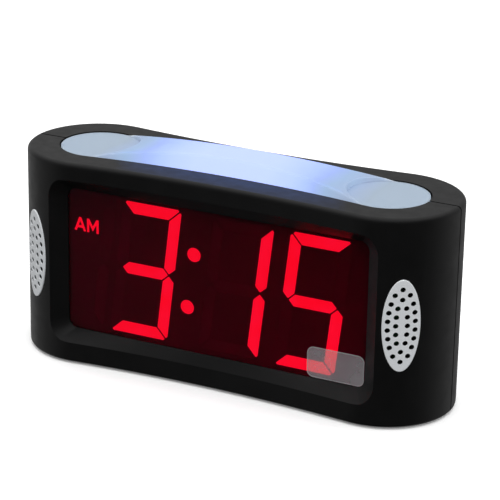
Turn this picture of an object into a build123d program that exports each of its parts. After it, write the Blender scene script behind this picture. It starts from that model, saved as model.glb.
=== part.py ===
from build123d import *
from math import cos, hypot, radians, sin, sqrt
import os

# Bedside alarm clock with a red seven-segment display, a glowing snooze bar along its top, and
# speaker grilles on its round ends.
# Frame: millimetres, origin on the table under the middle of the clock, +X to the right as seen
# from the front, +Y to the back, +Z up. The front and rear shells meet on the plane Y = 0.

os.makedirs("parts", exist_ok=True)

# ---- Housing: two round ends joined by slightly hollow front and back faces ----
foot_stand = 0.6
end_x = 51.65
end_r = 23.07
waist_half = 20.26
body_base = foot_stand
body_top = body_base + 68.2
wall = 2.0
top_edge = 1.5
bottom_edge = 1.2
inner_base = body_base + wall
inner_top = body_top - wall
beyond = 30.0
past = 1.0

# Seam between the shells: an open groove outside, a tongue and its slot inside
seam_gap = 0.6
seam_depth = 0.9
tongue_inset = 1.05
tongue_reach = 1.5
tongue_play = 0.08

# ---- Display window and its bevelled recess in the front face ----
window_half = 52.8
window_low = 10.9
window_high = 59.2
window_corner = 3.2
recess_floor_y = -18.2
recess_half = 57.5
recess_side_y = -22.4
recess_bow_y = -24.15
recess_low = 7.4
recess_high = 63.1
recess_corner = 7.0
recess_overrun = 2.0
pane_front_y = -17.6
pane_thickness = 1.2
pane_half = 54.2
pane_low = 9.6
pane_high = 60.5
pane_play = 0.2
frame_back_y = -15.6
frame_half = 60.4
frame_low = 5.4
frame_high = 64.8

# ---- Seven-segment digits ----
digit_height = 45.72
digit_width = 21.46
digit_slant = 0.112
segment_width = 4.4
segment_gap = 0.5
segment_chamfer = 1.5
segment_round = 0.3
digit_base = 12.1
digit_left = (-38.39, -6.13, 20.54)
lead_digit_left = -62.0
colon_spots = ((-7.65, 43.6), (-9.85, 25.5))
colon_r = 2.35
lit_by_digit = ("abcdg", "bc", "acdfg")
am_left = -50.75
am_low = 44.4
am_height = 4.6
am_letter_width = 3.5
am_letter_pitch = 4.65
am_stroke = 0.8
am_bar = 0.32
am_notch = 0.3
am_depth = 1.5
reflector_front_y = -16.3
reflector_back_y = -8.3
reflector_half = 53.9
reflector_low = 9.8
reflector_high = 60.3
segment_back_y = -9.6
cell_play = 0.04

# ---- Boards and the screws that hold them ----
board = 1.2
display_board_half = 59.6
display_board_low = 8.0
display_board_high = 62.4
display_post_x = 57.1
display_post_z = (14.0, 56.0)
display_post_r = 2.3
screw_r = 1.0
screw_head_r = 1.9
screw_head = 1.4
display_screw_reach = 5.0
main_screw_reach = 6.0
main_board_front_y = 9.2
main_board = 1.6
main_board_back_y = main_board_front_y + main_board
main_board_half = 58.8
main_board_low = 36.1
main_board_high = 53.6
main_post_x = 56.2
main_post_z = 50.2
light_board_low = 56.6
light_board_top = light_board_low + board
light_board_half = 59.6
light_board_front_y = -5.4
light_board_back_y = 9.2
shelf_x = 30.0
shelf_half = 3.0
shelf_low = 54.1
shelf_front_y = 4.6
shelf_screw_y = 7.1

# ---- Top: snooze bar that is also the night light's lens ----
lens_end_x = 50.7
lens_end_r = 13.0
lens_waist_half = 9.05
lens_wall = 1.8
lens_gap = 0.5
lens_sunk = 0.25
lens_top = body_top - lens_sunk
crown_rise = 4.7
crown_radius = 250.0
crown_slope = 30.0
flange_reach = 1.2
flange_height = 1.2
flange_play = 0.05
crease_round = 0.7
snooze_travel = 0.8
snooze_switch_x = 48.6
snooze_post_r = 2.4
spring_x = 56.2
spring_r = 1.9
spring_wire_r = 0.25
spring_turns = 5
reflector_tray_half = 43.0
reflector_tray_depth_half = 5.2
reflector_tray_wall = 1.0
reflector_tray_top = 64.0
light_spacing = 16.0
light_count = 5

# ---- Speaker grilles on the front quarters of the round ends ----
grille_angle = 34.0
grille_z = 34.65
grille_half_width = 6.0
grille_half_height = 15.0
grille_proud = 0.3
grille_thickness = 1.0
grille_play = 0.2
grille_ledge = 1.3
grille_edge = 0.2
grille_hole_r = 0.84
grille_pitch = 2.84
outer_ring = (4.3, 11.8)
outer_rows = (0.5, 1.5, 2.5, 3.5)
inner_ring = (1.8, 8.52)
inner_rows = (0.0, 1.0, 2.0)

# ---- Case screws, in deep holes from the back ----
case_screw_x = 64.0
case_screw_z = (10.6, 58.6)
case_seat_y = 7.0
case_screw_r = 1.2
case_screw_head_r = 2.4
case_screw_head = 1.7
case_screw_reach = 9.0
front_boss_r = 3.2
front_boss_depth = 16.4
rear_boss_r = 3.8
rear_boss_depth = 15.8
counterbore_r = 2.8

# ---- Rear controls ----
control_z = 46.2
button_names = ("alarm_button", "time_button", "hour_button", "minute_button")
button_x = (21.0, 7.0, -7.0, -21.0)
button_length = 9.0
button_height = 4.8
button_proud = 1.3
button_edge = 0.5
button_play = 0.25
button_travel = 0.8
button_flange = 1.2
stem_size = 3.0
tact_size = 6.0
tact_body = 3.4
tact_plunger_r = 1.7
tact_plunger = 0.7
stop_play = 0.02
slide_x = 34.5
slide_travel = 3.0
slide_knob = 3.6
slide_proud = 0.9
slide_plate_y = (17.9, 18.8)
slide_plate_half = (5.4, 3.2)
slide_body_y = 16.9
slide_body_half = (5.2, 2.6)
slide_fork = 1.6
wheel_x = -38.0
wheel_r = 5.5
wheel_thickness = 3.0
wheel_proud = 0.9
wheel_play = 0.3
wheel_ribs = 22
wheel_groove_r = 0.35
axle_r = 1.5
axle_length = 3.2
axle_play = 0.05
pot_half = 4.4
pot_height = 4.6
pot_back_y = 19.2

# ---- Power inlet and its board ----
inlet_x = -46.0
inlet_z = 15.2
inlet_nose_r = 3.8
inlet_hole_r = 2.75
inlet_pin_r = 1.05
inlet_depth = 9.0
inlet_half = 4.6
inlet_back_y = 19.4
inlet_set_back = 0.3
power_board_front_y = 7.8
power_board_back_y = 9.4
power_board_x = (-57.6, -34.0)
power_board_z = (5.2, 29.2)

# ---- Backup cells, their bay and its door ----
cell_r = 5.2
cell_length = 43.3
cell_cap_r = 1.9
cell_cap = 1.0
bay_half = 24.6
bay_low = 9.2
bay_high = 31.2
bay_floor_y = 7.2
bay_wall = 1.6
bay_side_wall = 2.2
cell_clear = 0.15
cell_pitch = 11.0
door_half = 26.0
door_low = 8.6
door_high = 32.0
door_thickness = 1.8
door_play = 0.3
door_corner = 1.2
hinge_x = 14.5
hinge_half = 2.5
hinge_y = (16.9, 18.0)
hinge_low = 7.4
hinge_high = 10.0
hinge_overlap = 0.4
contact_thickness = 0.4
contact_half = 3.8

# ---- Vents, window label, door grip ----
vent_z = 58.0
vent_pitch = 4.0
vent_count = 11
vent_width = 1.4
vent_height = 7.0
sticker_x = 42.6
sticker_z = 16.2
sticker_size = (19.4, 10.2)
sticker_corner = 2.2
sticker_thickness = 0.15
grip_drop = 4.0
grip_pitch = 1.5
grip_count = 3
grip_length = 12.0
grip_width = 0.8
grip_depth = 0.4

# ---- Parts on the boards; round ones are given as radius and height ----
diode_size = 1.2
diode_height = 0.8
chip_half = 12.0
chip_height = 3.4
chip_depth = 7.0
chip_z = 41.4
chip_lift = 0.5
chip_pins = 14
pin_size = (0.5, 1.6)
pin_reach = 1.0
timer_spots = ((-32.0, 44.0), (-42.0, 44.0))
timer_size = (3.0, 7.0)
crystal_spot = (-50.0, 40.0)
crystal_size = (1.6, 4.0)
drivers_centre = (22.0, 44.0)
drivers_pitch = 5.0
drivers_rows = 3
driver_size = (3.0, 1.5)
driver_height = 0.8
buzzer_x = 47.6
buzzer_r = 6.0
buzzer_height = 8.0
plug_depth = 2.4
plug_half = 1.6
plug_side = 1.0
ribbon_x = (-9.0, 9.0)
ribbon_rise = 3.0
ribbon_sag = 5.0
ribbon_loop = 2.0
light_cable_x = (37.5, 40.5)
light_cable_y = 3.4
cable_thickness = 0.7
cable_bend = 1.0
smoothing_spot = (-40.0, 13.0)
smoothing_size = (4.0, 8.0)
output_spot = (-51.0, 24.0)
output_size = (2.5, 6.0)
regulator_x = (-43.0, -37.0)
regulator_z = (21.0, 27.0)
rectifier_x = (-56.0, -49.0)
rectifier_z = (8.0, 13.0)
package_height = 2.3

# ---- Feet and label ----
foot_r = 4.0
foot_sunk = 1.0
foot_x = 54.0
foot_y = 11.5
label_size = (44.0, 13.0)
label_thickness = 0.12
label_y = 12.0


def front_plane(y):
    """Plane at depth y, drawn as seen from the front: x to the right, z up, normal to the front."""
    return Plane.XZ.offset(-y)


def dogbone(height, centre_x, radius, waist, inset=0.0):
    """Outline at a height: two round ends joined by tangent hollow arcs, all moved in by inset."""
    end = radius - inset
    half = waist - inset
    hollow = (centre_x**2 + half**2 - end**2) / (2 * (end - half))
    reach = hypot(centre_x, hollow + half)
    touch_x = centre_x - end * centre_x / reach
    touch_y = end * (hollow + half) / reach
    tip = centre_x + end
    with BuildSketch(Plane.XY.offset(height)) as outline:
        with BuildLine():
            ThreePointArc((-touch_x, -touch_y), (0, -half), (touch_x, -touch_y))
            ThreePointArc((touch_x, -touch_y), (tip, 0), (touch_x, touch_y))
            ThreePointArc((touch_x, touch_y), (0, half), (-touch_x, touch_y))
            ThreePointArc((-touch_x, touch_y), (-tip, 0), (-touch_x, -touch_y))
        make_face()
    return outline.sketch


def housing_outline(height, inset=0.0):
    return dogbone(height, end_x, end_r, waist_half, inset)


def lens_outline(height, inset=0.0):
    return dogbone(height, lens_end_x, lens_end_r, lens_waist_half, inset)


def face_depth(x):
    """Distance of the housing's front or back surface from the middle plane, at x."""
    hollow = (end_x**2 + waist_half**2 - end_r**2) / (2 * (end_r - waist_half))
    touch_x = end_x - end_r * end_x / hypot(end_x, hollow + waist_half)
    if abs(x) < touch_x:
        return waist_half + hollow - sqrt(hollow**2 - x**2)
    return sqrt(end_r**2 - (abs(x) - end_x) ** 2)


def span_box(x, y, z):
    """Box between pairs of limits, for use inside a part block."""
    with Locations(((x[0] + x[1]) / 2, (y[0] + y[1]) / 2, (z[0] + z[1]) / 2)):
        Box(x[1] - x[0], y[1] - y[0], z[1] - z[0])


def cut_box(x, y, z):
    with Locations(((x[0] + x[1]) / 2, (y[0] + y[1]) / 2, (z[0] + z[1]) / 2)):
        Box(x[1] - x[0], y[1] - y[0], z[1] - z[0], mode=Mode.SUBTRACT)


def discs(y, spots, radius):
    """Sketch of equal discs at depth y, centred on (x, z) spots."""
    with BuildSketch(front_plane(y)) as sketch:
        with Locations(*spots):
            Circle(radius)
    return sketch.sketch


def plate_sketch(y, half_width, low, high, corner):
    """Sketch of a rounded rectangle at depth y, centred on x = 0."""
    with BuildSketch(front_plane(y)) as sketch:
        with Locations((0, (low + high) / 2)):
            RectangleRounded(2 * half_width, high - low, corner)
    return sketch.sketch


def save(builder, name):
    builder.part.label = name
    export_step(builder.part, f"parts/{name}.step")


# ---------------------------------------------------------------- housing

def housing_block():
    """The whole outer form, solid, with its rounded top and bottom edges."""
    with BuildPart() as block:
        extrude(housing_outline(body_base), amount=body_top - body_base)
        fillet(block.edges().group_by(Axis.Z)[-1], top_edge)
        fillet(block.edges().group_by(Axis.Z)[0], bottom_edge)
    return block.part


def housing_cavity():
    """The hollow inside, which stops behind the frame that holds the display."""
    with BuildPart() as cavity:
        extrude(housing_outline(inner_base, wall), amount=inner_top - inner_base)
        cut_box((-frame_half, frame_half), (-beyond, frame_back_y), (frame_low, frame_high))
    return cavity.part


def lens_opening():
    with BuildPart() as opening:
        extrude(lens_outline(inner_top - past, -lens_gap), amount=wall + 2 * past)
    return opening.part


def seam_ring(near, far, y_from, y_to):
    """Square frame between two insets from the seam outline, from one depth to another."""
    middle = (body_base + body_top) / 2
    width = 2 * (end_x + end_r)
    height = body_top - body_base
    with BuildPart() as ring:
        with BuildSketch(front_plane(y_from)):
            with Locations((0, middle)):
                Rectangle(width - 2 * near, height - 2 * near)
                Rectangle(width - 2 * far, height - 2 * far, mode=Mode.SUBTRACT)
        extrude(amount=y_from - y_to)
    return ring.part


def recess_section(height, floor_mid_y, floor_side_y):
    """Section of the bevelled recess: sloping sides, and a floor that may bow with the face."""
    slope = (recess_half - window_half) / (recess_floor_y - recess_side_y)
    front_y = -beyond
    floor_x = window_half + (recess_floor_y - floor_side_y) * slope
    front_x = window_half + (recess_floor_y - front_y) * slope
    with BuildSketch(Plane.XY.offset(height)) as section:
        with BuildLine():
            if floor_mid_y == floor_side_y:
                Line((-floor_x, floor_side_y), (floor_x, floor_side_y))
            else:
                ThreePointArc((-floor_x, floor_side_y), (0, floor_mid_y), (floor_x, floor_side_y))
            Polyline((floor_x, floor_side_y), (front_x, front_y), (-front_x, front_y),
                     (-floor_x, floor_side_y))
        make_face()
    return section.sketch


def recess_cutter():
    """Bevelled recess: flat floor at the window, and bevels that run out on the curved face."""
    with BuildPart() as cutter:
        extrude(recess_section(window_low, recess_floor_y, recess_floor_y),
                amount=window_high - window_low)
        for inner_z, outer_z in ((window_low, recess_low), (window_high, recess_high)):
            share = 1 + recess_overrun / abs(outer_z - inner_z)
            far_z = inner_z + (outer_z - inner_z) * share
            mid_y = recess_floor_y + (-waist_half - recess_floor_y) * share
            side_y = recess_floor_y + (recess_bow_y - recess_floor_y) * share
            loft([recess_section(inner_z, recess_floor_y, recess_floor_y),
                  recess_section(far_z, mid_y, side_y)], ruled=True)
    return cutter.part


def recess_frame(depth):
    """Rounded outline of the recess, so far in front of its floor, near the corners."""
    corner_depth = face_depth(window_half - window_corner) + recess_floor_y
    side_share = depth / (recess_floor_y - recess_side_y)
    share = depth / corner_depth
    return plate_sketch(recess_floor_y - depth,
                        window_half + (recess_half - window_half) * side_share,
                        window_low + (recess_low - window_low) * share,
                        window_high + (recess_high - window_high) * share,
                        window_corner + (recess_corner - window_corner) * share)


def recess_trim():
    """Trims the cutter's corners to rounds that widen towards the face, and spares its middle."""
    reach = 2 * (recess_floor_y - recess_side_y)
    straight = window_half - window_corner
    with BuildPart() as trim:
        loft([recess_frame(0), recess_frame(reach)], ruled=True)
        span_box((-straight, straight), (-beyond, recess_floor_y), (0, body_top))
    return trim.part


def grille_plane(side):
    """Plane on the round end where a grille sits, facing straight out of it."""
    out = Vector(side * sin(radians(grille_angle)), -cos(radians(grille_angle)), 0)
    origin = Vector(side * end_x, 0, grille_z) + out * end_r
    return Plane(origin=origin, x_dir=out.cross(Vector(0, 0, -1)), z_dir=out)


def grille_oval(side, grow):
    with BuildSketch(grille_plane(side)) as oval:
        Ellipse(grille_half_width + grow, grille_half_height + grow)
    return oval.sketch


def grille_seat(side):
    """Space for a grille: a pocket of its outline over a smaller opening for the sound."""
    with BuildPart() as seat:
        extrude(grille_oval(side, grille_play), amount=wall)
        extrude(grille_oval(side, grille_play), amount=-2 * wall)
        with BuildSketch(Plane.XY) as floor:
            with Locations((side * end_x, 0)):
                Circle(end_r + grille_proud - grille_thickness)
        extrude(floor.sketch, amount=2 * grille_z, mode=Mode.SUBTRACT)
        extrude(grille_oval(side, -grille_ledge), amount=wall)
        extrude(grille_oval(side, -grille_ledge), amount=-2.5 * wall)
    return seat.part


def screw_spots(xs, zs):
    return [(x, z) for x in xs for z in zs]


def foot_seats():
    with BuildPart() as seats:
        with Locations(*[(x, y, body_base + foot_sunk / 2)
                         for x in (-foot_x, foot_x) for y in (-foot_y, foot_y)]):
            Cylinder(foot_r, foot_sunk)
    return seats.part


case_spots = screw_spots((-case_screw_x, case_screw_x), case_screw_z)
display_spots = screw_spots((-display_post_x, display_post_x), display_post_z)
main_spots = screw_spots((-main_post_x, main_post_x), (main_post_z,))
shelf_spots = [(side * shelf_x, shelf_screw_y) for side in (-1, 1)]

block = housing_block()
cavity = housing_cavity()
top_opening = lens_opening()
foot_pockets = foot_seats()

with BuildPart() as recess:
    add(recess_cutter())
    add(recess_trim(), mode=Mode.INTERSECT)

with BuildPart() as front_shell:
    add(block)
    add(cavity, mode=Mode.SUBTRACT)
    split(bisect_by=Plane.XZ, keep=Keep.TOP)
    extrude(discs(0, case_spots, front_boss_r), amount=front_boss_depth)
    extrude(discs(frame_back_y, display_spots, display_post_r),
            amount=frame_back_y - reflector_back_y)
    add(recess.part, mode=Mode.SUBTRACT)
    extrude(plate_sketch(recess_floor_y - past, window_half, window_low, window_high,
                         window_corner),
            amount=recess_floor_y - past - frame_back_y, mode=Mode.SUBTRACT)
    cut_box((-pane_half - pane_play, pane_half + pane_play), (pane_front_y, frame_back_y + past),
            (pane_low - pane_play, pane_high + pane_play))
    add(top_opening, mode=Mode.SUBTRACT)
    add(seam_ring(tongue_inset - tongue_play, wall + past, 0, -tongue_reach - tongue_play),
        mode=Mode.SUBTRACT)
    add(seam_ring(-past, seam_depth, 0, -seam_gap / 2), mode=Mode.SUBTRACT)
    extrude(discs(past, case_spots, case_screw_r), amount=case_screw_reach + 2 * past,
            mode=Mode.SUBTRACT)
    extrude(discs(reflector_back_y + past, display_spots, screw_r),
            amount=display_screw_reach + past, mode=Mode.SUBTRACT)
    for side in (-1, 1):
        add(grille_seat(side), mode=Mode.SUBTRACT)
    add(foot_pockets, mode=Mode.SUBTRACT)
save(front_shell, "front_shell")


def wall_patch(half_width, low, high, corner, depth):
    """Rounded rectangle through the rear wall, whose inner side follows the curved face."""
    with BuildPart() as patch:
        with BuildSketch(front_plane(waist_half / 2)):
            with Locations((0, (low + high) / 2)):
                RectangleRounded(2 * half_width, high - low, corner)
        extrude(amount=-end_r)
        extrude(housing_outline(body_base, depth), amount=body_top, mode=Mode.SUBTRACT)
    return patch.part


def door_seat():
    """Opening for the battery door, with the ledge that it lies on."""
    return wall_patch(door_half + door_play, door_low - door_play, door_high + door_play,
                      door_corner + door_play, door_thickness + stop_play)


with BuildPart() as rear_shell:
    add(block)
    add(cavity, mode=Mode.SUBTRACT)
    split(bisect_by=Plane.XZ, keep=Keep.BOTTOM)
    add(seam_ring(tongue_inset, wall, 0, -tongue_reach))
    add(seam_ring(-past, seam_depth, seam_gap / 2, 0), mode=Mode.SUBTRACT)
    extrude(discs(0, case_spots, rear_boss_r), amount=-rear_boss_depth)
    extrude(discs(main_board_back_y, main_spots, display_post_r),
            amount=-(end_r - wall - main_board_back_y))
    for side in (-1, 1):
        span_box((side * shelf_x - shelf_half, side * shelf_x + shelf_half),
                 (shelf_front_y, face_depth(shelf_x) - wall / 2), (shelf_low, light_board_low))
    span_box((-bay_half - bay_side_wall, bay_half + bay_side_wall),
             (bay_floor_y - bay_wall, waist_half - wall / 2),
             (bay_low - bay_wall, bay_high + bay_wall))
    cut_box((-bay_half, bay_half), (bay_floor_y, beyond), (bay_low, bay_high))
    add(door_seat(), mode=Mode.SUBTRACT)
    for side in (-1, 1):
        cut_box((side * hinge_x - hinge_half - door_play, side * hinge_x + hinge_half + door_play),
                (hinge_y[0] - 2 * door_play, face_depth(hinge_x + hinge_half) - door_thickness),
                (hinge_low - door_play, bay_low))
    add(top_opening, mode=Mode.SUBTRACT)
    add(foot_pockets, mode=Mode.SUBTRACT)
    extrude(discs(beyond, case_spots, counterbore_r), amount=beyond - case_seat_y,
            mode=Mode.SUBTRACT)
    extrude(discs(case_seat_y + past, case_spots, case_screw_r + door_play),
            amount=case_seat_y + 2 * past, mode=Mode.SUBTRACT)
    extrude(discs(main_board_back_y + main_screw_reach, main_spots, screw_r),
            amount=main_screw_reach + past, mode=Mode.SUBTRACT)
    with Locations(*[(x, y, light_board_low - board) for x, y in shelf_spots]):
        Cylinder(screw_r, 4 * board, mode=Mode.SUBTRACT)
    with BuildSketch(front_plane(beyond)) as control_holes:
        with Locations(*[(x, control_z) for x in button_x]):
            SlotOverall(button_length + 2 * button_play, button_height + 2 * button_play)
        with Locations((slide_x + slide_travel / 2, control_z)):
            RectangleRounded(slide_knob + slide_travel + 2 * button_play,
                             slide_knob + 2 * button_play, button_edge)
        with Locations((inlet_x, inlet_z)):
            Circle(inlet_nose_r + button_play)
    extrude(control_holes.sketch, amount=beyond - (waist_half - 2 * wall), mode=Mode.SUBTRACT)
    with Locations((wheel_x, face_depth(wheel_x) + wheel_proud - wheel_r, control_z)):
        Cylinder(wheel_r + wheel_play, wheel_thickness + 2 * wheel_play, mode=Mode.SUBTRACT)
    with BuildSketch(front_plane(beyond)) as vents:
        with Locations((0, vent_z)):
            with GridLocations(vent_pitch, 0, vent_count, 1):
                SlotOverall(vent_height, vent_width, rotation=90)
    extrude(vents.sketch, amount=beyond - (waist_half - 2 * wall), mode=Mode.SUBTRACT)
save(rear_shell, "rear_shell")


# ---------------------------------------------------------------- display

def segment_points(name):
    """Corners of one segment in an upright cell, before the slant."""
    w, h, t, c = digit_width, digit_height, segment_width, segment_chamfer
    m = h / 2
    top = [(c, h), (w - c, h), (w - c / 2, h - c / 2), (w - t, h - t), (t, h - t), (c / 2, h - c / 2)]
    upper_right = [(w - c / 2, h - c / 2), (w, h - c), (w, m + t / 2), (w - t / 2, m),
                   (w - t, m + t / 2), (w - t, h - t)]
    middle = [(t / 2, m), (t, m + t / 2), (w - t, m + t / 2), (w - t / 2, m), (w - t, m - t / 2),
              (t, m - t / 2)]
    flip_x = [(w - x, z) for x, z in upper_right]
    return {
        "a": top,
        "b": upper_right,
        "c": [(x, h - z) for x, z in upper_right],
        "d": [(x, h - z) for x, z in top],
        "e": [(x, h - z) for x, z in flip_x],
        "f": flip_x,
        "g": middle,
    }[name]


def segment_sketch(left, names, y, grow=0.0):
    """Sketch of the named segments of the cell whose lower left corner is at left."""
    with BuildSketch(front_plane(y)) as sketch:
        for name in names:
            points = [(left + x + digit_slant * z, digit_base + z)
                      for x, z in segment_points(name)]
            with BuildSketch(front_plane(y)) as one:
                with BuildLine():
                    Polyline(*points, close=True)
                make_face()
                offset(amount=-segment_gap / 2, kind=Kind.INTERSECTION)
                fillet(one.vertices(), segment_round)
                if grow:
                    offset(amount=grow)
    return sketch.sketch


def colon_sketch(y, grow=0.0):
    with BuildSketch(front_plane(y)) as sketch:
        with Locations(*colon_spots):
            Circle(colon_r + grow)
    return sketch.sketch


def am_sketch(y, grow=0.0):
    """The morning mark, two letters drawn as strokes."""
    strokes = []
    w, h = am_letter_width, am_height
    letter_a = [(0, 0), (w / 2, h), (w, 0)]
    letter_m = [(0, 0), (0, h), (w / 2, am_notch * h), (w, h), (w, 0)]
    strokes.append(letter_a)
    strokes.append([(w * am_bar / 2, am_bar * h), (w * (1 - am_bar / 2), am_bar * h)])
    strokes.append([(x + am_letter_pitch, z) for x, z in letter_m])
    with BuildSketch(front_plane(y)) as sketch:
        for stroke in strokes:
            with BuildLine() as line:
                Polyline(*[(am_left + x, am_low + z) for x, z in stroke])
            trace(line.edges(), am_stroke + 2 * grow)
        with Locations((am_left + am_letter_pitch, am_low + h / 2)):
            Rectangle(4 * am_letter_pitch, h + 2 * grow, mode=Mode.INTERSECT)
    return sketch.sketch


def unlit_names(lit):
    return "".join(name for name in "abcdefg" if name not in lit)


def lit_sketches(y, grow=0.0):
    cells = [segment_sketch(left, lit, y, grow) for left, lit in zip(digit_left, lit_by_digit)]
    return cells + [colon_sketch(y, grow)]


def unlit_sketches(y, grow=0.0):
    cells = [segment_sketch(left, unlit_names(lit), y, grow)
             for left, lit in zip(digit_left, lit_by_digit)]
    return cells + [segment_sketch(lead_digit_left, "bc", y, grow)]


segment_depth = segment_back_y - reflector_front_y

with BuildPart() as display_window:
    span_box((-pane_half, pane_half), (pane_front_y + stop_play, pane_front_y + pane_thickness),
             (pane_low, pane_high))
save(display_window, "display_window")

with BuildPart() as digit_reflector:
    span_box((-reflector_half, reflector_half), (reflector_front_y, reflector_back_y),
             (reflector_low, reflector_high))
    for sketch in lit_sketches(reflector_front_y, cell_play):
        extrude(sketch, amount=-reflector_half, mode=Mode.SUBTRACT)
    for sketch in unlit_sketches(reflector_front_y, cell_play):
        extrude(sketch, amount=-reflector_half, mode=Mode.SUBTRACT)
    extrude(am_sketch(reflector_front_y, cell_play), amount=-am_depth, mode=Mode.SUBTRACT)
save(digit_reflector, "digit_reflector")

with BuildPart() as lit_segments:
    for sketch in lit_sketches(reflector_front_y):
        extrude(sketch, amount=-segment_depth)
    extrude(am_sketch(reflector_front_y), amount=-am_depth)
save(lit_segments, "lit_segments")

with BuildPart() as unlit_segments:
    for sketch in unlit_sketches(reflector_front_y):
        extrude(sketch, amount=-segment_depth)
save(unlit_segments, "unlit_segments")


def segment_centres():
    """Middle of every segment, where its light-emitting diode sits."""
    spots = []
    cells = [(left, "abcdefg") for left in digit_left] + [(lead_digit_left, "bc")]
    for left, names in cells:
        for name in names:
            points = segment_points(name)
            x = sum(p[0] for p in points) / len(points)
            z = sum(p[1] for p in points) / len(points)
            spots.append((left + x + digit_slant * z, digit_base + z))
    return spots + list(colon_spots)


with BuildPart() as display_diodes:
    with BuildSketch(front_plane(reflector_back_y)) as diode_pads:
        with Locations(*segment_centres()):
            Rectangle(diode_size, diode_size)
    extrude(diode_pads.sketch, amount=diode_height)
save(display_diodes, "display_diodes")

with BuildPart() as display_board:
    span_box((-display_board_half, display_board_half),
             (reflector_back_y, reflector_back_y + board),
             (display_board_low, display_board_high))
    extrude(discs(0, display_spots, screw_r + stop_play), amount=past - reflector_back_y,
            mode=Mode.SUBTRACT)
save(display_board, "display_board")


def screws(spots, seat_y, shaft_r, head_r, head, reach):
    """Screws driven towards the front: pan heads behind seat_y, shafts reaching forward of it."""
    with BuildPart() as group:
        extrude(discs(seat_y, spots, head_r), amount=-head)
        fillet(group.edges().group_by(Axis.Y)[-1], head / 3)
        extrude(discs(seat_y, spots, shaft_r), amount=reach)
        with BuildSketch(front_plane(seat_y + head)) as slots:
            with Locations(*spots):
                Rectangle(1.2 * head_r, head_r / 4)
                Rectangle(head_r / 4, 1.2 * head_r)
        extrude(slots.sketch, amount=head / 2, mode=Mode.SUBTRACT)
    return group


save(screws(display_spots, reflector_back_y + board, screw_r - stop_play, screw_head_r,
            screw_head, display_screw_reach), "display_screws")
save(screws(case_spots, case_seat_y, case_screw_r - stop_play, case_screw_head_r,
            case_screw_head, case_seat_y + case_screw_reach), "case_screws")

with BuildPart() as window_label:
    with BuildSketch(front_plane(pane_front_y + stop_play)):
        with Locations((sticker_x, sticker_z)):
            RectangleRounded(*sticker_size, sticker_corner)
    extrude(amount=sticker_thickness)
save(window_label, "window_label")


# ---------------------------------------------------------------- speaker grilles

def grille_holes(side):
    """Two nested ovals of holes, row by row, with a hole at each tip."""
    spots = []
    for (half_width, half_height), rows in ((outer_ring, outer_rows), (inner_ring, inner_rows)):
        for row in rows:
            height = row * grille_pitch
            reach = half_width * sqrt(1 - (height / half_height) ** 2)
            spots += [(x, z) for x in (-reach, reach) for z in {height, -height}]
        spots += [(0, half_height), (0, -half_height)]
    with BuildSketch(grille_plane(side)) as holes:
        with Locations(*spots):
            Circle(grille_hole_r)
    return holes.sketch


def grille(side):
    with BuildPart() as plate:
        extrude(grille_oval(side, 0), amount=wall)
        extrude(grille_oval(side, 0), amount=-2 * wall)
        with BuildSketch(Plane.XY) as skin:
            with Locations((side * end_x, 0)):
                Circle(end_r + grille_proud)
                Circle(end_r + grille_proud - grille_thickness + stop_play, mode=Mode.SUBTRACT)
        extrude(skin.sketch, amount=3 * grille_z, mode=Mode.INTERSECT)
        outer_edge = plate.faces().sort_by(Axis((side * end_x, 0, 0), grille_plane(side).z_dir))[-1]
        fillet(outer_edge.edges(), grille_edge)
        extrude(grille_holes(side), amount=wall, both=True, mode=Mode.SUBTRACT)
    return plate


save(grille(-1), "grille_left")
save(grille(1), "grille_right")


# ---------------------------------------------------------------- snooze bar and night light

def crown(inset, drop, crease=0.0):
    """The raised middle of the bar: sloping sides under a shallow arch, between the end pads."""
    with BuildPart() as hump:
        extrude(lens_outline(lens_top - drop, inset), amount=crown_rise + past, taper=crown_slope)
        with BuildSketch(front_plane(0)) as arch:
            with Locations((0, body_top + crown_rise - drop - crown_radius)):
                Circle(crown_radius)
        extrude(arch.sketch, amount=end_r, both=True, mode=Mode.INTERSECT)
        if crease:
            creases = [e for e in hump.edges().filter_by(lambda e: e.length > end_x)
                       if e.bounding_box().max.Z > body_top + crown_rise / 2]
            fillet(creases, crease)
        with Locations((-lens_end_x, 0, body_top), (lens_end_x, 0, body_top)):
            Cylinder(lens_end_r + inset, 4 * crown_rise, mode=Mode.SUBTRACT)
    return hump.part


flange_base = inner_top - flange_play - flange_height
switch_top = light_board_top + tact_body + tact_plunger

with BuildPart() as snooze_bar:
    extrude(lens_outline(flange_base, -flange_reach), amount=flange_height)
    extrude(lens_outline(flange_base), amount=lens_top - flange_base)
    add(crown(0, 0, crease_round))
    extrude(lens_outline(flange_base, lens_wall), amount=lens_top - lens_wall - flange_base,
            mode=Mode.SUBTRACT)
    add(crown(lens_wall, lens_wall), mode=Mode.SUBTRACT)
    with BuildSketch(Plane.XY.offset(switch_top + snooze_travel + stop_play)) as posts:
        with Locations((-snooze_switch_x, 0), (snooze_switch_x, 0)):
            Circle(snooze_post_r)
    extrude(posts.sketch,
            amount=lens_top - lens_wall / 2 - switch_top - snooze_travel - stop_play)
save(snooze_bar, "snooze_bar")

with BuildPart() as snooze_springs:
    spring_height = lens_top - lens_wall - light_board_top
    for side in (-1, 1):
        with BuildLine() as coil:
            Helix((spring_height - 2 * spring_wire_r - 2 * flange_play) / spring_turns,
                  spring_height - 2 * spring_wire_r - 2 * flange_play, spring_r,
                  center=(side * spring_x, 0, light_board_top + spring_wire_r + flange_play))
        start = coil.edges()[0]
        with BuildSketch(Plane(origin=start @ 0, z_dir=start % 0)) as wire:
            Circle(spring_wire_r)
        sweep(wire.sketch, path=start)
save(snooze_springs, "snooze_springs")

with BuildPart() as night_light_board:
    span_box((-light_board_half, light_board_half), (light_board_front_y, light_board_back_y),
             (light_board_low, light_board_top))
    with Locations(*[(x, y, light_board_low) for x, y in shelf_spots]):
        Cylinder(screw_r + stop_play, 4 * board, mode=Mode.SUBTRACT)
save(night_light_board, "night_light_board")

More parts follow.
